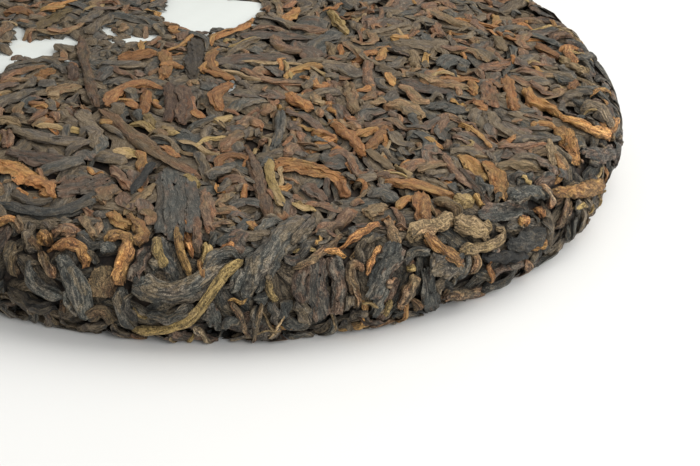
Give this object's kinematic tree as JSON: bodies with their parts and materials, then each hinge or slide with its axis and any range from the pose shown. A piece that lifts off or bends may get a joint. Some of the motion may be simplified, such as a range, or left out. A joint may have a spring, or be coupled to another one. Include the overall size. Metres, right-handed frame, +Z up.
{
  "type": "pu erh tea cake",
  "caption": "Round pressed cake of dark twisted tea leaves, domed on top, with a bare paper ticket pressed into its face and a knot hollow underneath.",
  "frame": {"origin": "on the surface that the cake lies on, below the middle of its box", "axes": "+Z up through the cake's thickness; +X to the right and -Y towards the viewer of the picture"},
  "size_m": [0.2, 0.2, 0.0271],
  "materials": {
    "dark_leaf": "matte, dry, wrinkled leaf, grey-brown to black",
    "brown_leaf": "matte, dry, wrinkled leaf, mid brown to reddish brown",
    "golden_bud": "matte, downy leaf bud, golden brown",
    "leaf_stem": "matte, ribbed dry stalk, tan",
    "ticket_paper": "matte thin paper, plain"
  },
  "bodies": {
    "root": {"tea_cake": "dark_leaf", "paper_ticket": "ticket_paper"}
  },
  "joints": []
}
